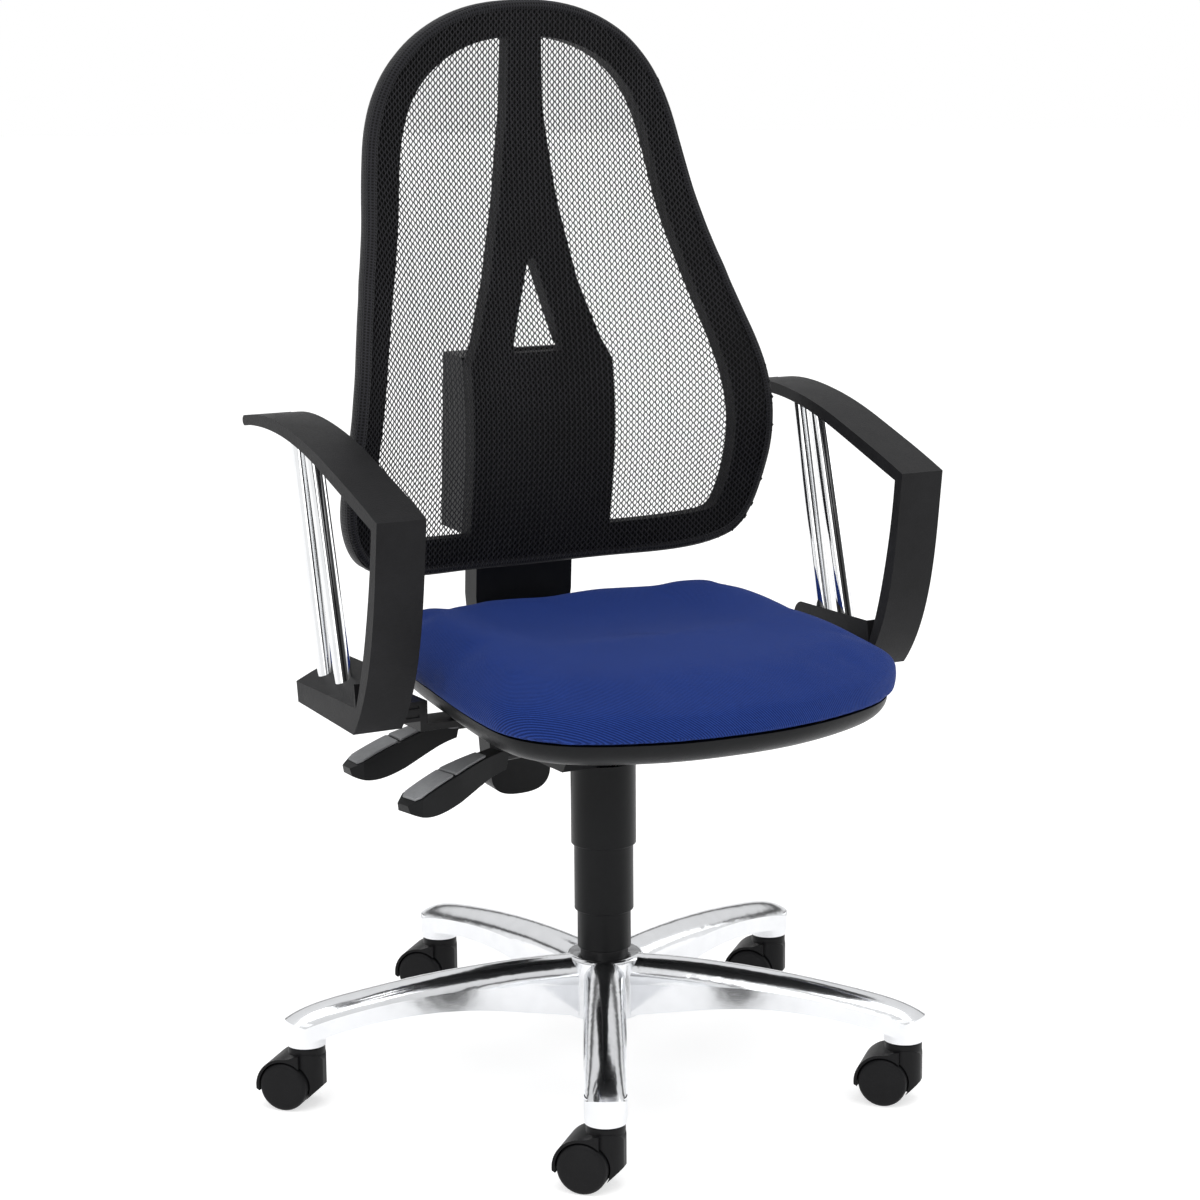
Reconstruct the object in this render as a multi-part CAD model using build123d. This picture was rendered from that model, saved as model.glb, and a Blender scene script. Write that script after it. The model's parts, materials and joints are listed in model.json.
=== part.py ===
"""Swivel office chair with a mesh back, in millimetres.

+Z is up, the origin is on the floor under the column, and the sitter faces -Y. The sitter's right hand,
with the two levers, is at -X.
"""

from build123d import *
from math import cos, radians, sin
import os

os.makedirs("parts", exist_ok=True)

RUN = 0.05  # radial running clearance of a shaft in its hole
GAP = 0.4  # gap between pieces that pass each other

# Five-star base and casters
LEG_COUNT = 5
FRONT_LEG_DEG = -119.5  # direction of the leg nearest the front, from +X
CASTER_R = 320.0  # stem radius from the column
CASTER_TRAIL_DEG = 133.5  # all casters trail the same way
BASE_BOTTOM = 66.0
HUB_R = 41.0
HUB_TOP = 130.0
BOSS_R = 21.0
WHEEL_R = 25.0
WHEEL_W = 18.5
WHEEL_INNER = 7.8  # wheel's inner face from the caster's middle
TRAIL = 17.0  # axle behind the stem
HOOD_R = 29.2
HOOD_HALF = 24.5
STEM_R = 5.5
AXLE_R = 4.0
SOCKET_R = 7.25

# Gas lift and its telescopic cover
TUBE_R = 25.0
TUBE_WALL = 2.0
TUBE_BOTTOM = 58.0
TUBE_TOP = 246.0
CYLINDER_R = 14.0
CYLINDER_WALL = 2.0
CYLINDER_BOTTOM = 145.0
CYLINDER_TOP = 380.0
ROD_R = 5.0
PISTON_Z = 216.0
PIN_R = 4.0
COVER_WALL = 2.0
LOWER_COVER = (28.0, 136.0, 222.0)  # outer radius, bottom, top
MIDDLE_COVER = (31.0, 177.0, 285.0)
UPPER_COVER = (34.0, 248.0, 336.0)

# Mechanism under the seat
HOUSING_HALF = 62.0
HOUSING_FRONT = -100.0
HOUSING_REAR = 97.0
HOUSING_BOTTOM = 336.0
HOUSING_NOSE = 362.0  # bottom of the shallower front end
HOUSING_WALL = 3.0
TILT_Y = 75.0
TILT_Z = 362.0
TILT_PIN_R = 6.0

# Seat, built flat about its rim and then tipped
SEAT_AT = Pos(0, 0, 439) * Rot(3.4, 0, 0)
SEAT_MIDDLE_Y = -68.0
SEAT_HALF_OUTLINE = [
    (0, -290), (70, -285), (132, -268), (182, -242), (210, -206), (217, -160),
    (211, -60), (201, 40), (178, 108), (120, 142), (0, 148),
]
SHELL_DEPTH = 28.0
SHELL_WALL = 3.0
BOARD_T = 10.0
PLATE_T = 3.0

# Armrests
ARM_INNER = 269.0
ARM_OUTER = 320.0
ARM_T = 12.0
ARM_ROD_R = 8.75
ARM_ROD_X = 296.0
BRACKET_Y = (-36.0, 4.0)

# Levers on the sitter's right: pivot y, pivot z, turn of the handle in plan
LEVER_PIVOT_X = -60.5
LEVERS = {"recline_lever": (50.0, 381.0, 0.0), "height_lever": (-38.0, 370.0, 10.0)}
LEVER_ROD_R = 5.0

# Backrest upright, built along its own axis and then leant
UPRIGHT_AT = Pos(0, 170, 485) * Rot(3.43, 0, 0)
UPRIGHT_HALF = 58.0
UPRIGHT_T = 27.0
UPRIGHT_FOOT = -227.0
UPRIGHT_TOP = 245.0
CARRIER_HALF = 84.0
CARRIER_LOW = 76.0
CARRIER_HIGH = 262.0

# Back frame: front outline, and the bend of its front face at each height
BACK_HALF_OUTLINE = [
    (0, 1108), (58, 1102), (110, 1080), (152, 1040), (175, 990), (190, 910), (216, 805),
    (239, 712), (247, 640), (241, 580), (222, 546), (188, 532), (95, 525), (0, 523),
]
BACK_BEND = [  # height, y of the middle, how far the edges stand forward at BEND_HALF
    (505, 150, 75), (560, 136, 56), (620, 127, 60), (680, 125, 81), (740, 131, 88), (800, 140, 77),
    (860, 147, 59), (930, 153, 29), (1000, 156, 9), (1070, 154, 6), (1125, 151, 6),
]
BEND_HALF = 262.0
RING_W = 35.0
FRAME_T = 20.0
MESH_T = 3.0


def save(name, *solids):
    """Write one named piece; identical loose pieces share one file."""
    piece = solids[0] if len(solids) == 1 else Compound(children=list(solids))
    export_step(piece, f"parts/{name}.step")


def disc(radius, low, high, x=0.0, y=0.0):
    """Upright cylinder between two heights."""
    return Pos(x, y, (low + high) / 2) * Cylinder(radius, high - low)


def tube(radius, wall, low, high):
    return disc(radius, low, high) - disc(radius - wall, low - 1, high + 1)


def cross_pin(radius, x_low, x_high, y, z):
    """Cylinder along X."""
    return Pos((x_low + x_high) / 2, y, z) * Rot(0, 90, 0) * Cylinder(radius, x_high - x_low)


def block(x_low, x_high, y_low, y_high, z_low, z_high):
    middle = ((x_low + x_high) / 2, (y_low + y_high) / 2, (z_low + z_high) / 2)
    return Pos(*middle) * Box(x_high - x_low, y_high - y_low, z_high - z_low)


def side_plate(edges, x_low, x_high):
    """Extrude a closed side view, drawn as (y, z), across X."""
    face = Plane.YZ * make_face(Curve() + edges)
    return Pos(x_low, 0, 0) * extrude(face, amount=x_high - x_low, dir=(1, 0, 0))


def mirrored(points):
    """Close a right half, listed from one middle point to the other."""
    return points + [(-x, y) for x, y in reversed(points[1:-1])]


def inset(points, distance):
    """Move each point of a closed outline towards its inside."""
    count = len(points)
    area = sum(points[i - 1][0] * points[i][1] - points[i][0] * points[i - 1][1] for i in range(count))
    side = distance if area > 0 else -distance
    moved = []
    for i, (x, y) in enumerate(points):
        dx = points[(i + 1) % count][0] - points[i - 1][0]
        dy = points[(i + 1) % count][1] - points[i - 1][1]
        length = (dx * dx + dy * dy) ** 0.5
        moved.append((x - side * dy / length, y + side * dx / length))
    return moved


def smooth_face(points):
    return make_face(Spline(*points, periodic=True))


# ---------------------------------------------------------------- base and casters

LEG_SECTIONS = [  # radius, underside, ridge, half width
    (28, 66, 130, 20.5), (60, 73, 130.5, 21), (105, 81, 130, 21.5), (160, 88.5, 127, 21.5),
    (220, 88.5, 121, 21), (270, 83, 114, 21), (305, 76, 107.5, 21), (346, 69, 90, 20.5),
]
SIDE_SHARE = 0.55  # part of a leg's height below its crease


def leg_section(radius, low, high, half):
    crease = low + SIDE_SHARE * (high - low)
    edges = [
        Line((-half, low), (half, low)),
        Line((half, low), (half, crease)),
        ThreePointArc((half, crease), (0, high), (-half, crease)),
        Line((-half, crease), (-half, low)),
    ]
    return Plane(origin=(radius, 0, 0), x_dir=(0, 1, 0), z_dir=(1, 0, 0)) * make_face(Curve() + edges)


def base_leg():
    """One hollow leg along +X with the boss for its caster."""
    leg = loft([leg_section(*section) for section in LEG_SECTIONS])
    plan = block(20, CASTER_R, -30, 30, 0, 200) + disc(BOSS_R + 0.5, 0, 200, CASTER_R)
    hollow = loft([leg_section(r, low - 8, high - 6, half - 4) for r, low, high, half in LEG_SECTIONS[1:6]])
    boss = disc(BOSS_R - 0.5, BASE_BOTTOM, 92, CASTER_R)
    return (leg & plan) - hollow + boss


def base_star():
    hub = disc(HUB_R, BASE_BOTTOM, HUB_TOP)
    hub = fillet(hub.edges().group_by(Axis.Z)[-1], 5)
    leg = base_leg()
    star = hub
    for k in range(LEG_COUNT):
        star += Rot(0, 0, FRONT_LEG_DEG + 72 * k) * leg
    star -= disc(TUBE_R, 0, 200)
    for k in range(LEG_COUNT):
        star -= leg_place(k) * disc(SOCKET_R, 0, 91)
    return star


def leg_place(k):
    """Frame at the end of leg k, on the floor under its caster's stem."""
    angle = radians(FRONT_LEG_DEG + 72 * k)
    return Pos(CASTER_R * cos(angle), CASTER_R * sin(angle), 0)


def caster_pieces():
    """Caster with its stem at the origin, trailing along +X, with the axle along Y."""
    outline = [
        ThreePointArc((TRAIL + HOOD_R, WHEEL_R - 4), (TRAIL + 20, WHEEL_R + 21.3), (TRAIL, WHEEL_R + HOOD_R)),
        Spline((TRAIL, WHEEL_R + HOOD_R), (4, 58), (-10, 59), tangents=[(-1, 0.05), (-1, 0)]),
        ThreePointArc((-10, 59), (-16.5, 56.5), (-19, 50)),
        Line((-19, 50), (-19, 24)),
        Line((-19, 24), (-6, 12)),
        Line((-6, 12), (TRAIL + 12, 12)),
        Line((TRAIL + 12, 12), (TRAIL + HOOD_R, WHEEL_R - 4)),
    ]
    face = Plane.XZ * make_face(Curve() + outline)
    housing = Pos(0, HOOD_HALF, 0) * extrude(face, amount=2 * HOOD_HALF, dir=(0, -1, 0))
    upright = disc(19.5, 0, 80) + block(0, 80, -40, 40, 0, 80)
    housing &= upright
    axle_at = Pos(TRAIL, 0, WHEEL_R) * Rot(90, 0, 0)
    for side in (-1, 1):
        depth = HOOD_HALF + 4 - 7
        housing -= axle_at * Pos(0, 0, side * (7 + depth / 2)) * Cylinder(WHEEL_R + 1.4, depth)
    housing += disc(19, 57, 64.2)
    housing -= disc(STEM_R, 34, 70)
    housing -= axle_at * Cylinder(AXLE_R, 80)

    stem = disc(STEM_R, 34, 89) + disc(STEM_R + 2, 64.2, 64.4)
    axle = axle_at * Cylinder(AXLE_R, 2 * (WHEEL_INNER + WHEEL_W) - 6)
    wheels = []
    for side in (-1, 1):
        wheel = Cylinder(WHEEL_R, WHEEL_W)
        outer = wheel.edges().filter_by(GeomType.CIRCLE).group_by(Axis.Z)[-1 if side > 0 else 0]
        wheel = fillet(outer, 4.5)
        middle = side * (WHEEL_INNER + WHEEL_W / 2)
        bore = Pos(0, 0, -side * 3) * Cylinder(AXLE_R + RUN, WHEEL_W)
        wheels.append(axle_at * Pos(0, 0, middle) * (wheel - bore))
    return housing, [stem, axle], wheels


def build_base():
    save("base_star", base_star())
    sleeve = tube(SOCKET_R, SOCKET_R - STEM_R - RUN, BASE_BOTTOM, 90)
    sleeve += tube(10.5, 10.5 - STEM_R - RUN, 64.8, BASE_BOTTOM)
    save("caster_sockets", *[leg_place(k) * sleeve for k in range(LEG_COUNT)])
    housing, pins, wheels = caster_pieces()
    for k in range(LEG_COUNT):
        place = leg_place(k) * Rot(0, 0, CASTER_TRAIL_DEG)
        save(f"caster_{k + 1}_housing", place * housing)
        save(f"caster_{k + 1}_pins", *[place * pin for pin in pins])
        save(f"caster_{k + 1}_wheels", *[place * wheel for wheel in wheels])


# ---------------------------------------------------------------- gas lift


def build_column():
    outer = tube(TUBE_R, TUBE_WALL, TUBE_BOTTOM, TUBE_TOP)
    outer += disc(TUBE_R - 1, TUBE_BOTTOM, TUBE_BOTTOM + 3) - disc(ROD_R + RUN, 0, 100)
    save("gas_lift_tube", outer)
    bush = tube(TUBE_R - TUBE_WALL, TUBE_R - TUBE_WALL - CYLINDER_R - RUN, 165, TUBE_TOP)
    bush += tube(TUBE_R, TUBE_R - CYLINDER_R - RUN, TUBE_TOP, TUBE_TOP + 3)
    save("gas_lift_bush", bush)
    save("thrust_bearing", tube(12, 12 - ROD_R - RUN, TUBE_BOTTOM + 3, TUBE_BOTTOM + 8))
    collar = tube(8, 8 - ROD_R, TUBE_BOTTOM + 8.1, TUBE_BOTTOM + 11)
    save("piston_rod", disc(ROD_R, 54, PISTON_Z + 6) + collar)
    save("rod_clip", tube(8, 8 - ROD_R, TUBE_BOTTOM - 2.5, TUBE_BOTTOM - 0.2))
    inner = CYLINDER_R - CYLINDER_WALL
    save("gas_piston", tube(inner - RUN, inner - RUN - ROD_R, PISTON_Z - 4, PISTON_Z + 4))
    cylinder = disc(CYLINDER_R, CYLINDER_BOTTOM, CYLINDER_TOP)
    cylinder -= disc(inner, CYLINDER_BOTTOM + 3, CYLINDER_TOP - 14)
    cylinder -= disc(ROD_R + RUN, CYLINDER_BOTTOM - 1, CYLINDER_BOTTOM + 4)
    cylinder -= disc(PIN_R + RUN, CYLINDER_TOP - 15, CYLINDER_TOP + 1)
    save("gas_cylinder", cylinder)
    save("release_button", disc(PIN_R, CYLINDER_TOP - 12, CYLINDER_TOP + 8))
    covers = {"lower": LOWER_COVER, "middle": MIDDLE_COVER, "upper": UPPER_COVER}
    for name, (radius, low, high) in covers.items():
        cover = tube(radius, COVER_WALL, low, high)
        rim = cover.edges().filter_by(GeomType.CIRCLE).group_by(Axis.Z)[0].sort_by(SortBy.RADIUS)[-1]
        save(f"column_cover_{name}", fillet(rim, 1.2))


# ---------------------------------------------------------------- seat and mechanism


def seat_outline(x_scale, y_scale, z):
    """Smooth plan of the seat at one height above its rim."""
    points = [(x * x_scale, SEAT_MIDDLE_Y + (y - SEAT_MIDDLE_Y) * y_scale) for x, y in SEAT_HALF_OUTLINE]
    return Pos(0, 0, z) * smooth_face(mirrored(points))


def seat_loft(sections):
    return loft([seat_outline(x_scale, y_scale, z) for z, x_scale, y_scale in sections])


def screw(radius, length, head_r, head_h):
    """Screw standing on its head's top at z = 0 and pointing up."""
    return disc(head_r, -head_h, 0) + disc(radius, 0, length)


def seat_screws():
    places = [(x, y) for x in (-80, 80) for y in (-95, 95)]
    low = -SHELL_DEPTH - PLATE_T
    fixed = [SEAT_AT * Pos(x, y, low) * screw(3, 14, 6, 4) for x, y in places]
    arms = [Pos(side * x, -16, 401.5) * screw(4, 16, 7, 5) for side in (-1, 1) for x in (130, 180)]
    clamps = [Pos(side * 278, -16, 416) * screw(3, 14, 5, 4) for side in (-1, 1)]
    return fixed + arms + clamps


def cut_all(piece, tools):
    for tool in tools:
        piece -= tool
    return piece


def arm_bracket(side):
    """Cranked steel bar from under the seat into the armrest's foot."""
    corners = [
        (98, 401.5), (226, 401.5), (226, 412), (ARM_INNER + 16, 412), (ARM_INNER + 16, 432),
        (218, 432), (218, 408.5), (98, 408.5),
    ]
    face = Plane.XZ * make_face(Polyline(*corners, close=True))
    bar = Pos(0, BRACKET_Y[1], 0) * extrude(face, amount=BRACKET_Y[1] - BRACKET_Y[0], dir=(0, -1, 0))
    for z in (417.5, 426.5):
        bar -= block(227, ARM_INNER - 1, BRACKET_Y[0] - 1, BRACKET_Y[0] + 1.5, z - 1.5, z + 1.5)
        bar -= block(227, ARM_INNER - 1, BRACKET_Y[1] - 1.5, BRACKET_Y[1] + 1, z - 1.5, z + 1.5)
    return bar if side > 0 else mirror(bar, Plane.YZ)


def build_seat():
    shell = seat_loft([(0, 1, 1), (-12, 0.985, 0.985), (-22, 0.935, 0.93), (-SHELL_DEPTH, 0.82, 0.82)])
    inside = seat_loft(
        [(0.5, 0.985, 0.985), (-11, 0.968, 0.968), (-19, 0.915, 0.91), (SHELL_WALL - SHELL_DEPTH, 0.8, 0.8)]
    )
    board_low = SHELL_WALL - SHELL_DEPTH
    board = extrude(seat_outline(0.78, 0.78, board_low), amount=BOARD_T)
    board_top = board_low + BOARD_T
    cushion = seat_loft([(1, 1.0, 0.995), (12, 1.06, 1.03), (28, 1.085, 1.04), (42, 1.03, 1.0), (51, 0.9, 0.87)])
    cushion += seat_loft([(board_top, 0.84, 0.84), (1.2, 0.955, 0.955)])
    plate = block(-95, 95, -115, 115, -SHELL_DEPTH - PLATE_T, -SHELL_DEPTH)
    screws = seat_screws()
    save("seat_screws", *screws)
    save("seat_shell", cut_all(SEAT_AT * (shell - inside), screws))
    save("seat_board", cut_all(SEAT_AT * board, screws))
    save("seat_cushion", SEAT_AT * cushion)
    save("seat_plate", cut_all(SEAT_AT * plate, screws))
    for name, side in (("left", 1), ("right", -1)):
        save(f"arm_bracket_{name}", cut_all(arm_bracket(side), screws))
        frame, rods = armrest(side)
        save(f"armrest_{name}", cut_all(frame - arm_bracket(side), screws))
        save(f"arm_rods_{name}", *rods)


def armrest(side):
    """Open ribbon with its foot, and the two rods that close it, on the +X side or mirrored."""
    t = ARM_T
    ring = [
        Spline((-147, 632), (-107, 648), (-52, 668), (2, 686), (60, 699), (112, 704), (160, 699)),
        ThreePointArc((160, 699), (168, 695), (160, 690)),
        Spline((160, 690), (112, 704 - t), (60, 699 - t), (5, 686 - t), (-47, 668 - t), (-101, 648 - t), (-134, 624)),
        Spline((-134, 624), (-129, 585), (-118, 530), (-104, 480), (-91, 447)),
        Line((-91, 447), (-88, 470)),
        Line((-88, 470), (36, 470)),
        ThreePointArc((36, 470), (47, 464), (50, 452)),
        Line((50, 452), (46, 427)),
        Line((46, 427), (-84, 420)),
        Spline((-84, 420), (-104, 448), (-124, 495), (-138, 560), (-147, 632)),
    ]
    frame = side_plate(ring, ARM_INNER, ARM_OUTER)
    slope = Polyline((ARM_INNER - 1, 470.5), (ARM_OUTER + 1, 447), (ARM_OUTER + 1, 480), (ARM_INNER - 1, 480), close=True)
    wedge = Pos(0, 60, 0) * extrude(Plane.XZ * make_face(slope), amount=147, dir=(0, -1, 0))
    frame -= wedge - block(200, 400, -148, -87, 400, 500)
    rods = []
    for low, high in (((27, 445), (85, 694)), ((-12, 452), (52, 690))):
        start = Vector(ARM_ROD_X, *low)
        end = Vector(ARM_ROD_X, *high)
        along = end - start
        rods.append(Plane(origin=(start + end) / 2, z_dir=along) * Cylinder(ARM_ROD_R, along.length))
    frame = cut_all(frame, rods)
    if side < 0:
        frame = mirror(frame, Plane.YZ)
        rods = [mirror(rod, Plane.YZ) for rod in rods]
    return frame, rods


def build_mechanism():
    def bulk(grow):
        corners = [
            (HOUSING_FRONT - grow, HOUSING_NOSE - grow), (-45 - grow, HOUSING_NOSE - grow),
            (-25 - grow, HOUSING_BOTTOM - grow), (HOUSING_REAR + grow, HOUSING_BOTTOM - grow),
            (HOUSING_REAR + grow, 440), (HOUSING_FRONT - grow, 440),
        ]
        return side_plate([Polyline(*corners, close=True)], -HOUSING_HALF - grow, HOUSING_HALF + grow)

    above = SEAT_AT * block(-200, 200, -300, 300, -SHELL_DEPTH - PLATE_T, 100)
    housing = bulk(0) - bulk(-HOUSING_WALL) + disc(20, HOUSING_BOTTOM, CYLINDER_TOP - 8)
    housing -= above
    housing -= disc(CYLINDER_R, 300, 400)
    housing -= block(-45, 45, 90, 110, HOUSING_BOTTOM + 4, 396)
    tilt_pin = cross_pin(TILT_PIN_R, -HOUSING_HALF - 4, HOUSING_HALF + 4, TILT_Y, TILT_Z)
    housing -= tilt_pin
    for y, z, _ in LEVERS.values():
        housing -= cross_pin(LEVER_ROD_R + 0.8, -HOUSING_HALF - 1, -40, y, z)
    save("mechanism_housing", housing)
    save("tilt_pin", tilt_pin)
    clips = [cross_pin(8.5, *span, TILT_Y, TILT_Z) - tilt_pin for span in ((-64.5, -62), (62, 64.5))]
    save("tilt_pin_clips", *clips)
    springs = [torsion_spring(x) for x in (-44, 44)]
    save("tilt_springs", *springs)


def torsion_spring(x):
    """Close-wound spring of flat wire round the tilt pin, with one straight tail."""
    coil = cross_pin(9.7, x - 5, x + 5, TILT_Y, TILT_Z) - cross_pin(6.7, x - 6, x + 6, TILT_Y, TILT_Z)
    for turn in (-1.7, 1.7):
        edge = x + turn
        groove = cross_pin(11, edge - 0.3, edge + 0.3, TILT_Y, TILT_Z)
        coil -= groove - cross_pin(8.7, edge - 1, edge + 1, TILT_Y, TILT_Z)
    return coil + block(x - 1.5, x + 1.5, TILT_Y - 36, TILT_Y, TILT_Z - 9.7, TILT_Z - 7.2)


def build_levers():
    """Each lever is drawn pointing along -X from its pivot at the origin."""
    for name, (y, z, turn) in LEVERS.items():
        rod = cross_pin(LEVER_ROD_R, -110, 14, 0, 0)
        top = ThreePointArc((-92, 8), (-148, -4), (-208, -28))
        under = [
            Line((-208, -28), (-206, -36)),
            Spline((-206, -36), (-190, -41), (-150, -33), (-118, -20), (-88, -11)),
            Line((-88, -11), (-84, 4)),
            Line((-84, 4), (-92, 8)),
        ]
        grip = make_face(Curve() + [top] + under)
        grip = Pos(0, 17, 0) * extrude(Plane.XZ * grip, amount=34, dir=(0, -1, 0))
        plan = Polyline((-80, 9), (-108, 11), (-150, 17), (-196, 17), (-209, 8), (-209, -8), (-196, -17),
                        (-150, -17), (-108, -11), (-80, -9), close=True)
        shape = Pos(0, 0, -60) * extrude(make_face(plan), amount=100)
        grip = (grip & shape) - rod
        pads = []
        for start, end in ((-112, -152), (-155, -200)):
            layer = extrude(Plane.XZ * make_face(Curve() + pad_side(start, end)), amount=28, dir=(0, -1, 0))
            inner = Pos(0, 0, -60) * extrude(offset(make_face(plan), -3), amount=100)
            pads.append((Pos(0, 14, 0) * layer) & inner)
        place = Pos(LEVER_PIVOT_X, y, z) * Rot(0, 0, turn)
        save(f"{name}_rod", place * rod)
        save(f"{name}_grip", place * grip)
        save(f"{name}_pads", *[place * pad for pad in pads])


def pad_side(start, end):
    """Side view of a finger pad lying on the grip's curved top."""
    curve = ThreePointArc((-92, 8), (-148, -4), (-208, -28))
    low = [curve @ share for share in ((92 + start) / -116, (92 + (start + end) / 2) / -116, (92 + end) / -116)]
    thick = Vector(0, 2.6, 0)
    high = [point + thick for point in low]
    return [
        ThreePointArc(*low),
        Line(low[2], high[2]),
        ThreePointArc(*reversed(high)),
        Line(high[0], low[0]),
    ]


# ---------------------------------------------------------------- backrest


def bend_section(z, middle, forward, shift, thickness):
    """Plan of the bent back at one height, as a band of one thickness."""
    front = middle + shift
    back = front + thickness
    edges = [
        ThreePointArc((-BEND_HALF, front - forward), (0, front), (BEND_HALF, front - forward)),
        Line((BEND_HALF, front - forward), (BEND_HALF, back - forward)),
        ThreePointArc((BEND_HALF, back - forward), (0, back), (-BEND_HALF, back - forward)),
        Line((-BEND_HALF, back - forward), (-BEND_HALF, front - forward)),
    ]
    return Pos(0, 0, z) * make_face(Curve() + edges)


def bend(shift, thickness):
    """Bent slab that the frame and the mesh are cut from."""
    return loft([bend_section(z, middle, forward, shift, thickness) for z, middle, forward in BACK_BEND])


def through_y(face):
    """Extrude a front view, drawn as (x, z), through the whole back."""
    return Pos(0, 300, 0) * extrude(Plane.XZ * face, amount=400, dir=(0, -1, 0))


def upright_cover():
    """Tapered hollow cover in the upright's own frame, front face at y = 0."""
    foot = -195
    corners = [
        (-36, foot), (-UPRIGHT_HALF, 0), (-UPRIGHT_HALF, UPRIGHT_TOP),
        (UPRIGHT_HALF, UPRIGHT_TOP), (UPRIGHT_HALF, 0), (36, foot),
    ]
    tip = [Spline((36, foot), (26, UPRIGHT_FOOT + 5), (0, UPRIGHT_FOOT), (-26, UPRIGHT_FOOT + 5), (-36, foot))]
    face = make_face(Curve() + [Polyline(*corners)] + tip)
    body = extrude(Plane.XZ * face, amount=UPRIGHT_T, dir=(0, 1, 0))
    return body


def build_back():
    pin_gap = cross_pin(TILT_PIN_R + RUN, -100, 100, TILT_Y, TILT_Z)
    cover_body = UPRIGHT_AT * upright_cover()
    bar = UPRIGHT_AT * block(-27, 27, 3, UPRIGHT_T - 3, -200, UPRIGHT_TOP - 8)
    bar_hollow = UPRIGHT_AT * block(-24, 24, 6, UPRIGHT_T - 6, -201, UPRIGHT_TOP)
    hollow = UPRIGHT_AT * (
        block(-33, 33, 3, UPRIGHT_T - 3, -200, UPRIGHT_TOP - 8)
        + block(-UPRIGHT_HALF + 3, UPRIGHT_HALF - 3, 3, UPRIGHT_T - 3, 0, UPRIGHT_TOP - 8)
    )
    bracket = cross_pin(12, -30, 30, TILT_Y, TILT_Z) + block(-30, 30, TILT_Y, 200, TILT_Z - 10, TILT_Z + 10)
    bracket += UPRIGHT_AT * block(-30, 30, -6, 3, -150, -90)
    bracket = bracket - block(-22, 22, TILT_Y + 22, 166, 300, 400) - pin_gap - cover_body
    screws = [
        UPRIGHT_AT * Pos(x, -6, z) * Rot(-90, 0, 0) * screw(3, 14, 5.5, 3.5) for x in (-20, 20) for z in (-142, -98)
    ]
    save("back_bracket", cut_all(bracket, screws))
    save("back_bracket_screws", *screws)
    save("back_upright", cut_all(bar - bar_hollow, screws))
    save("back_upright_cover", cut_all(cover_body - hollow, screws))

    outline = mirrored(BACK_HALF_OUTLINE)
    outer = smooth_face(outline)
    ring = outer - smooth_face(inset(outline, RING_W))
    stem_half = [(19, 1085), (21, 1000), (34, 905), (52, 822), (72, 762), (CARRIER_HALF, 738), (CARRIER_HALF, 540)]
    stem = make_face(Polyline(*(stem_half + [(-x, z) for x, z in reversed(stem_half)]), close=True))
    window = make_face(Polyline((0, 858), (31, 748), (-31, 748), close=True))
    window = fillet(window.vertices(), 5)
    frame = bend(0, FRAME_T) & through_y(ring + (stem & outer) - window)
    sleeve = block(-UPRIGHT_HALF - GAP, UPRIGHT_HALF + GAP, -GAP, UPRIGHT_T + GAP, 0, 400)
    halves = {"front": (-40.0, UPRIGHT_T / 2), "rear": (UPRIGHT_T / 2, UPRIGHT_T + 6)}
    places = [(x, z) for x in (-71, 71) for z in (100, 240)]
    screws = [UPRIGHT_AT * Pos(x, UPRIGHT_T + 6, z) * Rot(90, 0, 0) * screw(2.5, 26, 5, 3) for x, z in places]
    catch_room = block(-13, 13, UPRIGHT_T - 1, UPRIGHT_T + 3.4, 150, 182)
    frame -= UPRIGHT_AT * block(-90, 90, -GAP - 4, 60, CARRIER_LOW - 8, CARRIER_HIGH + 8)
    save("back_frame", cut_all(frame, screws))
    fill = bend(-60, 60 + FRAME_T)
    for name, (low, high) in halves.items():
        carrier = block(-CARRIER_HALF, CARRIER_HALF, low, high, CARRIER_LOW, CARRIER_HIGH)
        carrier = UPRIGHT_AT * (carrier - sleeve - catch_room)
        save(f"back_carrier_{name}", cut_all(carrier - fill - frame, screws))
    save("back_carrier_screws", *screws)
    catch = block(-12.5, 12.5, UPRIGHT_T + GAP, UPRIGHT_T + 3, 151, 181)
    save("height_catch", UPRIGHT_AT * catch)
    save("back_mesh", bend(-MESH_T - 0.3, MESH_T) & through_y(outer))


build_base()
build_column()
build_seat()
build_mechanism()
build_levers()
build_back()
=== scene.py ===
"""Swivel office chair: the studio, its finishes, its cushion and its knitted back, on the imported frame.

Lengths are in metres, +Z is up, the floor is z = 0 and the sitter faces -Y.
"""

import json
from math import cos, pi, radians, sin, tau

import bmesh
import bpy
from mathutils import Matrix, Vector
from mathutils.bvhtree import BVHTree

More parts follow.
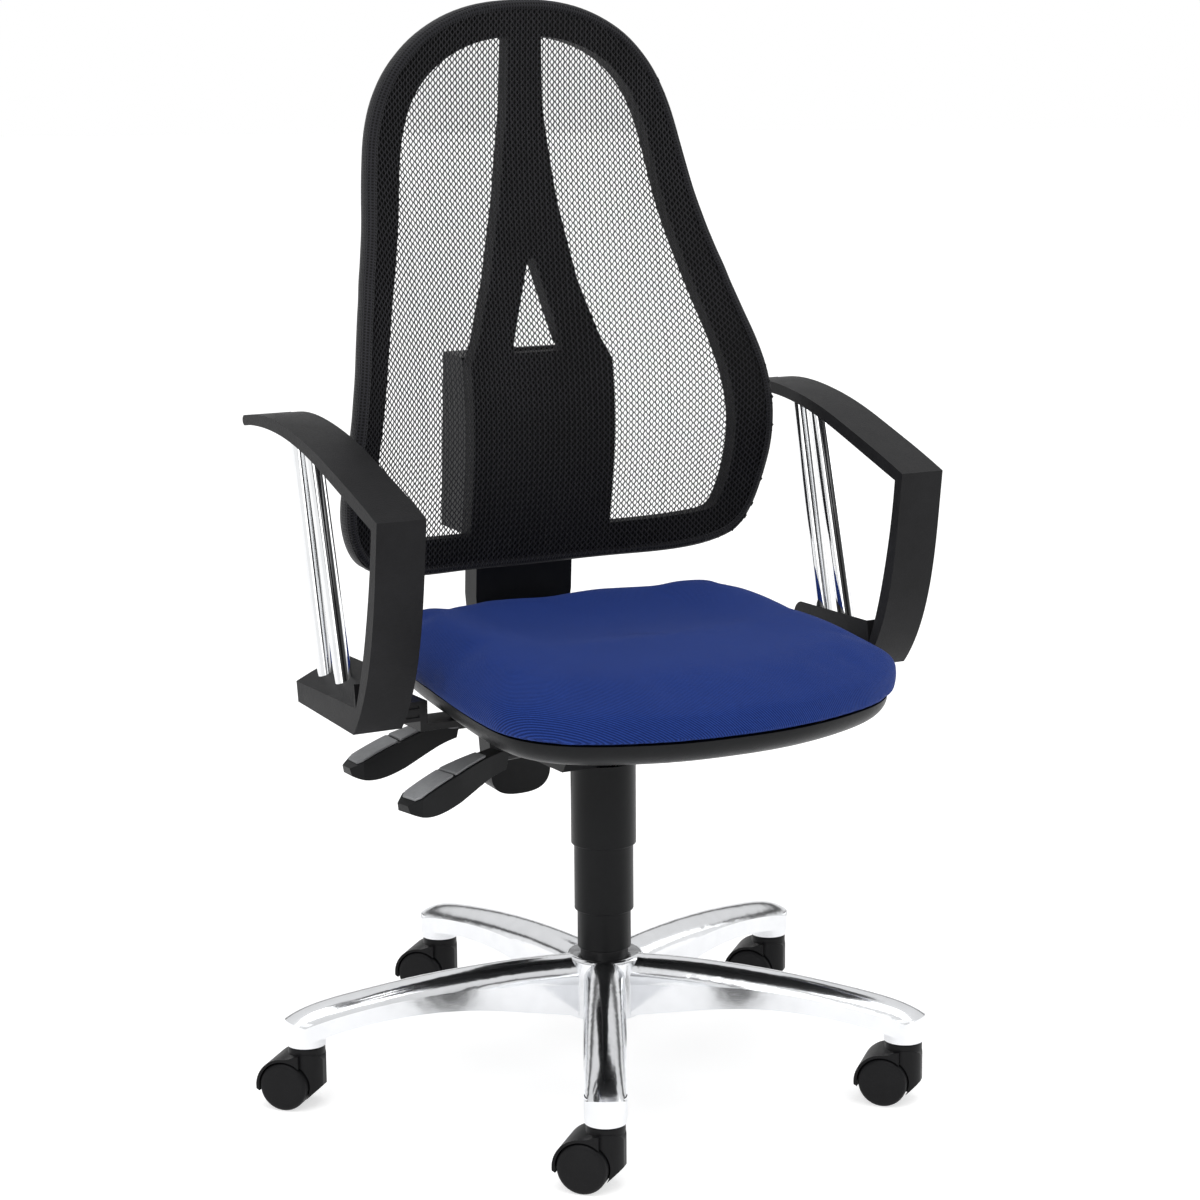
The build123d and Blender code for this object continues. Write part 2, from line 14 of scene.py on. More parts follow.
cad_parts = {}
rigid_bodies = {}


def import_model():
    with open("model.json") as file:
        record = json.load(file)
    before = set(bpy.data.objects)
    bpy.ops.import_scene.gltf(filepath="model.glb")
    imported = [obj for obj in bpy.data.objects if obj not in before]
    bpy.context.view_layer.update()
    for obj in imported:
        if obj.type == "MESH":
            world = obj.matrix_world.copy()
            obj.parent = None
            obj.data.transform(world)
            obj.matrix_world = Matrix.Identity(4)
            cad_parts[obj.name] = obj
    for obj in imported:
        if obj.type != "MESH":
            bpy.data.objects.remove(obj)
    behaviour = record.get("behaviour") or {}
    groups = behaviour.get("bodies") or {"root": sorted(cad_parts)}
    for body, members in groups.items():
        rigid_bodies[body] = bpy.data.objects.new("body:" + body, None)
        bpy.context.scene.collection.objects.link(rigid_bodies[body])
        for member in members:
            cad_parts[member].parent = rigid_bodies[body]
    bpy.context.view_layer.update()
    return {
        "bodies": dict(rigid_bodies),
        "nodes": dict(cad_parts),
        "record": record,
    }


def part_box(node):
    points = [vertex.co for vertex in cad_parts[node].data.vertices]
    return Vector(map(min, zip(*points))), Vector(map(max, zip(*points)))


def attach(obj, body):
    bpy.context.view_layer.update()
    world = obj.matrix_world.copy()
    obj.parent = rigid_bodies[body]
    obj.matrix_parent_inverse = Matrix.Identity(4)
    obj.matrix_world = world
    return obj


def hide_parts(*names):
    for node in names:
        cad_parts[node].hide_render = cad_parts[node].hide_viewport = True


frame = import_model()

CAMERA_PLACE = (-1.3885, -2.4499, 1.0463)
CAMERA_AIM = (0.4836, 0.8547, -0.1889)
CAMERA_ROLL = -0.007
CAMERA_LENS = 83.93

RIM_HEIGHT = 0.439  # the seat shell's rim over the column
RIM_SLOPE = 0.0594
CUSHION_VOXEL = 0.006
CUSHION_START_INSET = 0.004
CUSHION_SWELL = 0.007
CUSHION_DRAWN_IN_ABOVE = 0.012  # these three are heights above the shell's rim
CUSHION_HELD_BELOW = 0.008
CUSHION_SMOOTHED_ABOVE = 0.006
CUSHION_SMOOTHINGS = 10

KNIT_COLUMN = 0.00315  # half the distance between holes side by side
KNIT_ROW = 0.0034
KNIT_YARN = 0.00084  # radius
KNIT_NIP = 0.0005  # neighbouring yarns keep this far from the middle of their knot
KNIT_DEPTH = 0.0016
RIM_STEPS = 240
RIM_HALVINGS = 22
RIM_SMOOTHINGS = 6
RIM_MIDDLE = 0.79  # height that the back's rim is walked round

# height of a direction, and how bright the surroundings are there
WORLD_TONES = [(0.0, 1.0), (0.17, 1.0), (0.22, 0.06), (0.3, 0.06), (0.36, 0.85), (1.0, 0.95)]


# ---------------------------------------------------------------- shader writing


class Wire:
    """A node's output, which sums can be written with."""

    def __init__(self, finish, socket):
        self.finish = finish
        self.socket = socket

    def maths(self, operation, *values):
        node = self.finish.node("ShaderNodeMath", {"operation": operation}, dict(enumerate(values)))
        return Wire(self.finish, node.outputs[0])

    def __add__(self, other):
        return self.maths("ADD", self, other)

    def __sub__(self, other):
        return self.maths("SUBTRACT", self, other)

    def __rsub__(self, other):
        return self.maths("SUBTRACT", other, self)

    def __mul__(self, other):
        return self.maths("MULTIPLY", self, other)

    def __truediv__(self, other):
        return self.maths("DIVIDE", self, other)

    def __abs__(self):
        return self.maths("ABSOLUTE", self)

    __radd__ = __add__
    __rmul__ = __mul__

    def sine(self):
        return self.maths("SINE", self)

    def fraction(self):
        return self.maths("FRACT", self)

    def step_between(self, low, high):
        """0 below low, 1 above high and a smooth rise between them."""
        sockets = {"Value": self, "From Min": low, "From Max": high}
        node = self.finish.node("ShaderNodeMapRange", {"interpolation_type": "SMOOTHSTEP"}, sockets)
        return Wire(self.finish, node.outputs["Result"])


class Shading:
    """The emptied node tree of a material or a world."""

    def __init__(self, owner):
        owner.use_nodes = True
        self.tree = owner.node_tree
        self.tree.nodes.clear()

    def node(self, kind, settings=None, inputs=None):
        """Add a node, set its settings and then its sockets."""
        made = self.tree.nodes.new(kind)
        for name, value in (settings or {}).items():
            if name == "stops":
                self.stops(made.color_ramp, value)
            else:
                setattr(made, name, value)
        for name, value in (inputs or {}).items():
            if isinstance(value, Wire):
                self.tree.links.new(value.socket, made.inputs[name])
            else:
                made.inputs[name].default_value = value
        return made

    @staticmethod
    def stops(ramp, stops):
        while len(ramp.elements) < len(stops):
            ramp.elements.new(1.0)
        for element, (place, colour) in zip(ramp.elements, stops):
            element.position = place
            element.color = (*colour, 1.0)

    def wire(self, kind, output, settings=None, inputs=None):
        return Wire(self, self.node(kind, settings, inputs).outputs[output])

    def axes(self, place):
        split = self.node("ShaderNodeSeparateXYZ", {}, {"Vector": place})
        return [Wire(self, split.outputs[axis]) for axis in "XYZ"]

    def ramp(self, value, *stops):
        return self.wire("ShaderNodeValToRGB", "Color", {"stops": stops}, {"Fac": value})


class Finish(Shading):
    """A material, written as one Principled shader and what feeds it."""

    def __init__(self, name, **fixed):
        self.material = bpy.data.materials.new(name)
        super().__init__(self.material)
        self.shader = self.node("ShaderNodeBsdfPrincipled")
        self.node("ShaderNodeOutputMaterial", {}, {"Surface": Wire(self, self.shader.outputs[0])})
        self.set(**fixed)

    def set(self, **values):
        """Set the shader's sockets; base_color means Base Color."""
        for name, value in values.items():
            socket = self.shader.inputs[name.replace("_", " ").title().replace("Ior", "IOR")]
            if isinstance(value, Wire):
                self.tree.links.new(value.socket, socket)
            else:
                socket.default_value = value

    def place(self):
        return self.wire("ShaderNodeTexCoord", "Object")

    def stretched(self, place, scale):
        return self.wire("ShaderNodeMapping", "Vector", {}, {"Vector": place, "Scale": scale})

    def noise(self, place, scale, detail=2.0, roughness=0.5):
        sockets = {"Vector": place, "Scale": scale, "Detail": detail, "Roughness": roughness}
        return self.wire("ShaderNodeTexNoise", "Fac", {}, sockets)

    def cells(self, place, scale, feature="F1"):
        sockets = {"Vector": place, "Scale": scale}
        return self.wire("ShaderNodeTexVoronoi", "Distance", {"feature": feature}, sockets)

    def bump(self, height, distance, strength=1.0):
        sockets = {"Height": height, "Distance": distance, "Strength": strength}
        self.set(normal=self.wire("ShaderNodeBump", "Normal", {}, sockets))


def moulded(name, dark, light, gloss, grain_scale, grain_depth):
    """Moulded plastic: a fine pebble, faint flow marks and rubbed patches."""
    made = Finish(name, specular_ior_level=0.14)
    place = made.place()
    flow = made.noise(place, 9.0, 4.0, 0.6)
    rubbed = made.noise(place, 34.0, 3.0, 0.7)
    pebble = made.cells(place, grain_scale)
    dust = made.noise(place, 420.0, 1.0)
    tone = flow * 0.55 + rubbed * 0.3 + dust * 0.15
    made.set(base_color=made.ramp(tone, (0.3, dark), (0.75, light)))
    made.set(roughness=gloss + (rubbed - 0.5) * 0.16 + (dust - 0.5) * 0.1)
    made.bump(pebble * 0.8 + dust * 0.2, grain_depth, 0.6)
    return made.material


def polished(name, tint, gloss, waviness):
    """Buffed bright metal with fine buffing lines, hazy patches and finger marks."""
    made = Finish(name, metallic=1.0)
    place = made.place()
    haze = made.noise(place, 14.0, 3.0, 0.6)
    marks = made.noise(place, 70.0, 2.0, 0.6)
    lines = made.noise(made.stretched(place, (60.0, 60.0, 900.0)), 1.0, 2.0)
    dull = tuple(0.9 * share for share in tint)
    made.set(base_color=made.ramp(haze * 0.7 + marks * 0.3, (0.3, dull), (0.65, tint)))
    made.set(roughness=gloss + haze.step_between(0.52, 0.75) * 0.05 + marks.step_between(0.6, 0.8) * 0.04)
    made.bump(haze * 0.9 + lines * 0.02, waviness, 0.5)
    return made.material


def ground_steel(name, tint, gloss):
    """Turned or ground steel with fine rings and a little tarnish."""
    made = Finish(name, metallic=1.0)
    place = made.place()
    tarnish = made.noise(place, 60.0, 4.0, 0.7)
    rings = made.noise(made.stretched(place, (300.0, 300.0, 2400.0)), 1.0, 1.0)
    dark = tuple(0.72 * share for share in tint)
    made.set(base_color=made.ramp(tarnish, (0.35, dark), (0.6, tint)))
    made.set(roughness=gloss + (tarnish - 0.5) * 0.2 + (rings - 0.5) * 0.12)
    made.bump(rings, 0.00006, 0.5)
    return made.material


def painted_steel():
    """Black powder coat with its orange peel."""
    made = Finish("black powder coat", specular_ior_level=0.2)
    place = made.place()
    peel = made.noise(place, 520.0, 2.0, 0.5)
    worn = made.noise(place, 24.0, 5.0, 0.7)
    made.set(base_color=made.ramp(worn, (0.35, (0.004, 0.004, 0.0045)), (0.7, (0.012, 0.012, 0.013))))
    made.set(roughness=0.36 + (worn - 0.5) * 0.2)
    made.bump(peel, 0.00025, 0.5)
    return made.material


def natural_nylon():
    made = Finish("natural nylon", roughness=0.45)
    cloud = made.noise(made.place(), 30.0, 3.0)
    made.set(base_color=made.ramp(cloud, (0.3, (0.55, 0.53, 0.47)), (0.7, (0.68, 0.66, 0.6))))
    made.bump(cloud, 0.0001, 0.4)
    return made.material


def plywood():
    """Beech plywood: long grain on its faces and glue lines through its thickness."""
    made = Finish("beech plywood")
    place = made.place()
    height = made.axes(place)[2]
    grain = made.noise(made.stretched(place, (140.0, 7.0, 140.0)), 1.0, 5.0, 0.65)
    layers = abs((height * 720.0).fraction() - 0.5) * 2.0
    tone = grain * 0.75 + layers * 0.25
    made.set(base_color=made.ramp(tone, (0.25, (0.3, 0.16, 0.07)), (0.75, (0.6, 0.39, 0.2))))
    made.set(roughness=0.55 + (grain - 0.5) * 0.2)
    made.bump(grain, 0.0002, 0.5)
    return made.material


def twill_cloth():
    """Blue woven cloth: crossed threads with a diagonal rib, painted shade in its grooves and painted
    highlight on its crests, and a light nap.
    """
    made = Finish("blue twill", sheen_weight=0.1, sheen_roughness=0.4, sheen_tint=(0.4, 0.5, 1.0, 1.0))
    made.set(specular_ior_level=0.12)
    place = made.place()
    across, along, _ = made.axes(made.wire("ShaderNodeUVMap", "UV", {"uv_map": "cloth"}))
    across = across * 760.0
    along = along * 760.0
    rib = (across + along) * (tau / 2.8)
    threads = (across * tau).sine() * (along * tau).sine()
    rib_height_and_shade = rib.sine() * 0.5 + 0.5
    slub = made.noise(made.stretched(place, (120.0, 900.0, 500.0)), 1.0, 2.0, 0.6)
    patches = made.noise(place, 7.0, 3.0, 0.6)
    # Half the tone follows the rib: its grooves take the shaded blue and its crests the lit blue, which is
    # painted shade and painted highlight; slub and patches are the cloth's own uneven tone.
    tone = rib_height_and_shade * 0.5 + threads * 0.14 + slub * 0.26 + patches * 0.15
    # A shaded, a middle and a lit copy of the same blue: painted shade and painted light.
    painted_shade_blue, mid, lit = (0.002, 0.011, 0.078), (0.008, 0.028, 0.165), (0.019, 0.054, 0.265)
    made.set(base_color=made.ramp(tone, (0.2, painted_shade_blue), (0.5, mid), (0.85, lit)))
    made.set(roughness=0.78 + (slub - 0.5) * 0.2)
    made.bump(rib_height_and_shade * 0.6 + threads * 0.3 + slub * 0.3, 0.0005, 0.7)
    return made.material


def knit_yarn():
    """Black polyester yarn of the back, with its filaments and a dry shine."""
    made = Finish("black knit yarn", sheen_weight=0.08, sheen_roughness=0.4, specular_ior_level=0.2)
    place = made.place()
    filaments = made.noise(made.stretched(place, (2600.0, 900.0, 1400.0)), 1.0, 2.0)
    shade = made.noise(place, 16.0, 3.0)
    tone = filaments * 0.6 + shade * 0.4
    made.set(base_color=made.ramp(tone, (0.3, (0.006, 0.006, 0.007)), (0.75, (0.022, 0.022, 0.026))))
    made.set(roughness=0.5 + (filaments - 0.5) * 0.3)
    made.bump(filaments, 0.0003, 0.6)
    return made.material


def rim_knit():
    """Close knit that wraps the rim; its pattern follows the piece's own map, in metres."""
    made = Finish("black rim knit", sheen_weight=0.06, sheen_roughness=0.4, specular_ior_level=0.15)
    spot = made.wire("ShaderNodeUVMap", "UV", {"uv_map": "rim"})
    along, across, _ = made.axes(spot)
    column = along / KNIT_COLUMN
    row = across / KNIT_ROW
    lattice = (column * pi).sine() * (row * pi).sine()
    holes = abs(lattice).step_between(0.35, 0.75)
    filaments = made.noise(made.stretched(made.place(), (1400.0, 1400.0, 1400.0)), 1.0, 2.0)
    tone = holes * -0.7 + filaments * 0.4 + 0.6
    made.set(base_color=made.ramp(tone, (0.1, (0.001, 0.001, 0.001)), (0.8, (0.014, 0.014, 0.017))))
    made.set(roughness=0.55 + (filaments - 0.5) * 0.3)
    made.bump(1.0 - holes, 0.0012, 0.8)
    return made.material


def make_finishes():
    """One material for each of the record's slots."""
    black, charcoal = (0.003, 0.0032, 0.0036), (0.009, 0.0095, 0.0105)
    return {
        "polished_aluminium": polished("polished aluminium", (0.8, 0.81, 0.83), 0.15, 0.0012),
        "chrome": polished("chrome", (0.88, 0.89, 0.9), 0.03, 0.0003),
        "bright_steel": ground_steel("ground steel", (0.62, 0.63, 0.65), 0.28),
        "screw_steel": ground_steel("blackened screw steel", (0.1, 0.1, 0.105), 0.38),
        "black_steel": painted_steel(),
        "black_plastic": moulded("black plastic", black, charcoal, 0.38, 1500.0, 0.00012),
        "arm_plastic": moulded(
            "grained arm plastic", (0.0045, 0.0045, 0.005), (0.014, 0.014, 0.0155), 0.46, 850.0, 0.0004
        ),
        "frame_plastic": moulded(
            "frame plastic", (0.0015, 0.0015, 0.0017), (0.004, 0.004, 0.0045), 0.62, 1100.0, 0.0002
        ),
        "caster_plastic": moulded(
            "caster plastic", (0.003, 0.003, 0.0034), (0.009, 0.009, 0.01), 0.42, 1300.0, 0.00015
        ),
        "wheel_plastic": moulded(
            "wheel plastic", (0.0035, 0.0035, 0.004), (0.011, 0.011, 0.012), 0.5, 900.0, 0.0002
        ),
        "grey_plastic": moulded(
            "grey plastic", (0.16, 0.165, 0.17), (0.36, 0.365, 0.375), 0.45, 1000.0, 0.0002
        ),
        "nylon": natural_nylon(),
        "wood": plywood(),
        "blue_fabric": twill_cloth(),
        "black_mesh": knit_yarn(),
    }


FINISHES = make_finishes()
SLOTS = {row["node"]: row["material_slot"] for row in frame["record"]["subparts"]}


def finish_nodes():
    for node, obj in frame["nodes"].items():
        for place in obj.material_slots:
            place.material = FINISHES[SLOTS[node]]


# ---------------------------------------------------------------- pieces


def new_piece(name, mesh, body, slot, *nodes):
    """A finished mesh as a piece on a body, standing for CAD nodes."""
    obj = bpy.data.objects.new(name, mesh)
    bpy.context.scene.collection.objects.link(obj)
    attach(obj, body)
    if nodes:
        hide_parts(*nodes)
    return obj


def evaluated_mesh(obj):
    """The object's mesh with its modifiers applied."""
    return bpy.data.meshes.new_from_object(obj.evaluated_get(bpy.context.evaluated_depsgraph_get()))


def body_of(node):
    for body, empty in frame["bodies"].items():
        if frame["nodes"][node].parent == empty:
            return body


def welded_copy(node):
    """A CAD node's mesh with its loose triangles joined and its flats made whole."""
    mesh = bpy.data.meshes.new(node)
    work = bmesh.new()
    work.from_mesh(frame["nodes"][node].data)
    bmesh.ops.remove_doubles(work, verts=work.verts, dist=0.00001)
    bmesh.ops.dissolve_limit(work, angle_limit=radians(0.6), verts=work.verts, edges=work.edges)
    work.to_mesh(mesh)
    work.free()
    return mesh


def softened(node, width, angle=28.0, segments=3):
    """The node's own shape with its edges rounded, as a moulding's are."""
    mesh = welded_copy(node)
    mesh.materials.clear()
    mesh.materials.append(FINISHES[SLOTS[node]])
    obj = new_piece(f"{node}_look", mesh, body_of(node), SLOTS[node], node)
    bevel = obj.modifiers.new("edges", "BEVEL")
    bevel.width = width
    bevel.segments = segments
    bevel.limit_method = "ANGLE"
    bevel.angle_limit = radians(angle)
    bevel.harden_normals = False
    bevel.use_clamp_overlap = True
    for polygon in mesh.polygons:
        polygon.use_smooth = True
    mesh.set_sharp_from_angle(angle=radians(40))
    weights = obj.modifiers.new("normals", "WEIGHTED_NORMAL")
    weights.keep_sharp = False
    return obj


SOFT_EDGES = {  # node: edge radius
    "armrest_left": 0.0016, "armrest_right": 0.0016, "back_upright_cover": 0.002,
    "back_carrier_front": 0.0015, "back_carrier_rear": 0.002, "mechanism_housing": 0.0012,
    "height_lever_grip": 0.0012, "recline_lever_grip": 0.0012, "height_lever_pads": 0.0006,
    "recline_lever_pads": 0.0006, "arm_bracket_left": 0.0008, "arm_bracket_right": 0.0008,
}


def build_softened():
    for node, width in SOFT_EDGES.items():
        softened(node, width)


# ---------------------------------------------------------------- cushion


def cushion_rise(x, y):
    """How far the top stands off its plain shape: a seat dish, side bolsters and a falling front."""
    dish = -0.016 * max(0.0, 1 - (x / 0.165) ** 2) * max(0.0, 1 - ((y - 0.02) / 0.125) ** 2)
    bolster = 0.006 * max(0.0, 1 - ((abs(x) - 0.17) / 0.06) ** 2) * max(0.0, 1 - ((y + 0.02) / 0.17) ** 2)
    fall = -0.010 * max(0.0, (-y - 0.19) / 0.1) ** 2
    return dish + bolster + fall


def cushion_start():
    """The CAD cushion, remeshed evenly, drawn in a little and sculpted on top."""
    mesh = welded_copy("seat_cushion")
    obj = bpy.data.objects.new("seat_cushion_cloth", mesh)
    bpy.context.scene.collection.objects.link(obj)
    remesh = obj.modifiers.new("even", "REMESH")
    remesh.mode = "VOXEL"
    remesh.voxel_size = CUSHION_VOXEL
    made = evaluated_mesh(obj)
    obj.modifiers.clear()
    obj.data = made
    normals = [vertex.normal.copy() for vertex in made.vertices]
    for vertex, normal in zip(made.vertices, normals):
        if above_rim(vertex.co) > CUSHION_DRAWN_IN_ABOVE:
            vertex.co -= normal * CUSHION_START_INSET
        top = max(0.0, normal.z)
        vertex.co.z += cushion_rise(vertex.co.x, vertex.co.y) * top
    return obj


def above_rim(place):
    """Height above the shell's rim, which is tipped with the seat."""
    return place.z - RIM_HEIGHT - RIM_SLOPE * place.y


def lay_cloth_map(mesh):
    """Flat place of each point in the cloth: its plan, spread by how far it hangs down the side."""
    chart = mesh.uv_layers.new(name="cloth")
    top = max(vertex.co.z for vertex in mesh.vertices)
    for loop in mesh.loops:
        place = mesh.vertices[loop.vertex_index].co
        plan = Vector((place.x, place.y + 0.07))
        spread = plan.length + top - place.z
        chart.data[loop.index].uv = plan.normalized() * spread


def swell(obj, pressure=4.0, frames=20):
    """Blow the cover up as cloth, held where it enters the shell, and keep its result."""
    rest = [vertex.co.copy() for vertex in obj.data.vertices]
    held = obj.vertex_groups.new(name="held")
    held.add([v.index for v in obj.data.vertices if above_rim(v.co) < CUSHION_HELD_BELOW], 1.0, "REPLACE")
    cloth = obj.modifiers.new("cover", "CLOTH")
    cloth.settings.use_pressure = True
    cloth.settings.uniform_pressure_force = pressure
    cloth.settings.effector_weights.gravity = 0
    cloth.settings.vertex_group_mass = "held"
    cloth.settings.tension_stiffness = 30
    cloth.settings.compression_stiffness = 30
    cloth.settings.bending_stiffness = 2
    cloth.point_cache.frame_start = 1
    cloth.point_cache.frame_end = frames
    scene = bpy.context.scene
    for step in range(1, frames + 1):
        scene.frame_set(step)
    shaped = evaluated_mesh(obj)
    obj.modifiers.clear()
    obj.vertex_groups.clear()
    scene.frame_set(1)
    for vertex, start in zip(shaped.vertices, rest):
        moved = vertex.co - start
        vertex.co = start + moved * min(1.0, CUSHION_SWELL / max(moved.length, 1e-6))
    obj.data = shaped


def build_cushion():
    obj = cushion_start()
    swell(obj)
    work = bmesh.new()
    work.from_mesh(obj.data)
    free = [vert for vert in work.verts if above_rim(vert.co) > CUSHION_SMOOTHED_ABOVE]
    for _ in range(CUSHION_SMOOTHINGS):
        bmesh.ops.smooth_vert(work, verts=free, factor=0.5, use_axis_x=True, use_axis_y=True, use_axis_z=True)
    work.to_mesh(obj.data)
    work.free()
    lay_cloth_map(obj.data)
    for polygon in obj.data.polygons:
        polygon.use_smooth = True
    obj.data.materials.clear()
    obj.data.materials.append(FINISHES["blue_fabric"])
    fine = obj.modifiers.new("fine", "SUBSURF")
    fine.levels = fine.render_levels = 1
    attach(obj, "seat")
    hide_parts("seat_cushion")


# ---------------------------------------------------------------- knitted back


class Growth:
    """A Geometry Nodes tree with named inputs."""

    def __init__(self, name, **inputs):
        self.tree = bpy.data.node_groups.new(name, "GeometryNodeTree")
        self.tree.interface.new_socket("Geometry", in_out="OUTPUT", socket_type="NodeSocketGeometry")
        self.sockets = {}
        for label, kind in inputs.items():
            made = self.tree.interface.new_socket(label, in_out="INPUT", socket_type=f"NodeSocket{kind}")
            self.sockets[label] = made.identifier
        self.start = self.tree.nodes.new("NodeGroupInput")

    def given(self, label):
        return self.start.outputs[label]

    def node(self, kind, settings=None, **inputs):
        """Add a node; a keyword names its socket, or n0, n1 its place among the sockets."""
        made = self.tree.nodes.new(kind)
        for name, value in (settings or {}).items():
            setattr(made, name, value)
        for name, value in inputs.items():
            numbered = name[0] == "n" and name[1:].isdigit()
            socket = made.inputs[int(name[1:])] if numbered else made.inputs[name.replace("_", " ")]
            if isinstance(value, bpy.types.NodeSocket):
                self.tree.links.new(value, socket)
            else:
                socket.default_value = value
        return made

    def maths(self, operation, *values):
        numbered = {f"n{i}": value for i, value in enumerate(values)}
        return self.node("ShaderNodeMath", {"operation": operation}, **numbered).outputs[0]

    def close(self, geometry):
        """End with real, coated geometry."""
        real = self.node("GeometryNodeRealizeInstances", Geometry=geometry).outputs[0]
        material = self.given("Material")
        coated = self.node("GeometryNodeSetMaterial", Geometry=real, Material=material).outputs[0]
        end = self.tree.nodes.new("NodeGroupOutput")
        self.tree.links.new(coated, end.inputs["Geometry"])

    def grow(self, name, **values):
        """Run the tree once and give back a plain mesh."""
        carrier = bpy.data.objects.new(name, bpy.data.meshes.new(name))
        bpy.context.scene.collection.objects.link(carrier)
        made = carrier.modifiers.new("grow", "NODES")
        made.node_group = self.tree
        for label, value in values.items():
            made[self.sockets[label]] = value
        mesh = evaluated_mesh(carrier)
        carrier.modifiers.clear()
        bpy.data.objects.remove(carrier)
        for polygon in mesh.polygons:
            polygon.use_smooth = True
        return mesh


def knit_tree():
    """Zigzag yarns side by side, laid on the front of a sheet and cut at its outline."""
    grow = Growth(
        "knit", Sheet="Object", Columns="Int", Rows="Int", Column="Float", Row="Float", Corner="Vector",
        Nip="Float", Depth="Float", Yarn="Float", Material="Material",
    )
    upwards = grow.node("ShaderNodeCombineXYZ", Z=grow.given("Row")).outputs[0]
    sideways = grow.node("ShaderNodeCombineXYZ", X=grow.given("Column")).outputs[0]
    yarn = grow.node("GeometryNodeMeshLine", Count=grow.given("Rows"), Offset=upwards).outputs[0]
    columns, corner = grow.given("Columns"), grow.given("Corner")
    feet = grow.node("GeometryNodeMeshLine", Count=columns, Start_Location=corner, Offset=sideways).outputs[0]
    side_by_side = grow.node("GeometryNodeInstanceOnPoints", Points=feet, Instance=yarn).outputs[0]
    yarns = grow.node("GeometryNodeRealizeInstances", Geometry=side_by_side).outputs[0]
    index = grow.node("GeometryNodeInputIndex").outputs[0]
    column = grow.maths("FLOOR", grow.maths("DIVIDE", index, grow.given("Rows")))
    row = grow.maths("SUBTRACT", index, grow.maths("MULTIPLY", column, grow.given("Rows")))
    parity = grow.maths("MODULO", grow.maths("ADD", column, row), 2.0)
    reach = grow.maths("SUBTRACT", grow.maths("MULTIPLY", grow.given("Column"), 0.5), grow.given("Nip"))
    swing = grow.maths("MULTIPLY", grow.maths("SUBTRACT", parity, 0.5), grow.maths("MULTIPLY", reach, 2.0))
    aside = grow.node("ShaderNodeCombineXYZ", X=swing).outputs[0]
    zigzag = grow.node("GeometryNodeSetPosition", Geometry=yarns, Offset=aside).outputs[0]
    sheet = grow.node("GeometryNodeObjectInfo", Object=grow.given("Sheet")).outputs["Geometry"]
    cast = grow.node(
        "GeometryNodeRaycast", Target_Geometry=sheet, Ray_Direction=(0.0, 1.0, 0.0), Ray_Length=4.0
    )
    hit = cast.outputs["Is Hit"]
    missed = grow.node("FunctionNodeBooleanMath", {"operation": "NOT"}, n0=hit).outputs[0]
    kept = grow.node("GeometryNodeDeleteGeometry", Geometry=zigzag, Selection=missed).outputs[0]
    back = grow.node("ShaderNodeCombineXYZ", Y=grow.given("Depth")).outputs[0]
    laid = grow.node(
        "GeometryNodeSetPosition", Geometry=kept, Position=cast.outputs["Hit Position"], Offset=back
    ).outputs[0]
    paths = grow.node("GeometryNodeMeshToCurve", Mesh=laid).outputs[0]
    radius = grow.given("Yarn")
    section = grow.node("GeometryNodeCurvePrimitiveCircle", Resolution=4, Radius=radius).outputs[0]
    solid = grow.node("GeometryNodeCurveToMesh", Curve=paths, Profile_Curve=section, Fill_Caps=True)
    grow.close(solid.outputs[0])
    return grow


def build_knit():
    low, high = (Vector(corner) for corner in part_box("back_mesh"))
    mesh = knit_tree().grow(
        "back_knit",
        Sheet=frame["nodes"]["back_mesh"],
        Columns=int((high.x - low.x) / KNIT_COLUMN) + 2,
        Rows=int((high.z - low.z) / KNIT_ROW) + 2,
        Column=KNIT_COLUMN,
        Row=KNIT_ROW,
        Corner=(low.x, low.y - 0.5, low.z),
        Nip=KNIT_NIP,
        Depth=KNIT_DEPTH,
        Yarn=KNIT_YARN,
        Material=FINISHES["black_mesh"],
    )
    return new_piece("back_knit", mesh, "backrest", "black_mesh", "back_mesh")


def rim_walk():
    """The back's rim, found on the CAD sheet: a smoothed ring of places round it."""
    sheet = frame["nodes"]["back_mesh"].data
    tree = BVHTree.FromPolygons([v.co for v in sheet.vertices], [p.vertices for p in sheet.polygons])
    places = []
    for step in range(RIM_STEPS):
        turn = tau * step / RIM_STEPS
        away = Vector((cos(turn), 0, sin(turn)))
        inside, outside, hit = 0.0, 0.5, None
        for _ in range(RIM_HALVINGS):
            middle = (inside + outside) / 2
            found = tree.ray_cast(Vector((0, -1, RIM_MIDDLE)) + away * middle, Vector((0, 1, 0)))[0]
            if found is None:
                outside = middle
            else:
                inside = middle
                hit = found
        places.append(hit)
    for _ in range(RIM_SMOOTHINGS):
        places = [(places[i - 1] + places[i] * 2 + places[(i + 1) % RIM_STEPS]) / 4 for i in range(RIM_STEPS)]
    return places


RIM_SECTION = [  # outwards from the rim, back from the sheet's front
    (-0.007, 0.0004), (-0.0035, -0.0004), (0.0, 0.0008), (0.0018, 0.0035), (0.0022, 0.009),
    (0.0022, 0.0135), (0.0016, 0.0185), (-0.001, 0.0213), (-0.006, 0.0216), (-0.011, 0.0214),
]


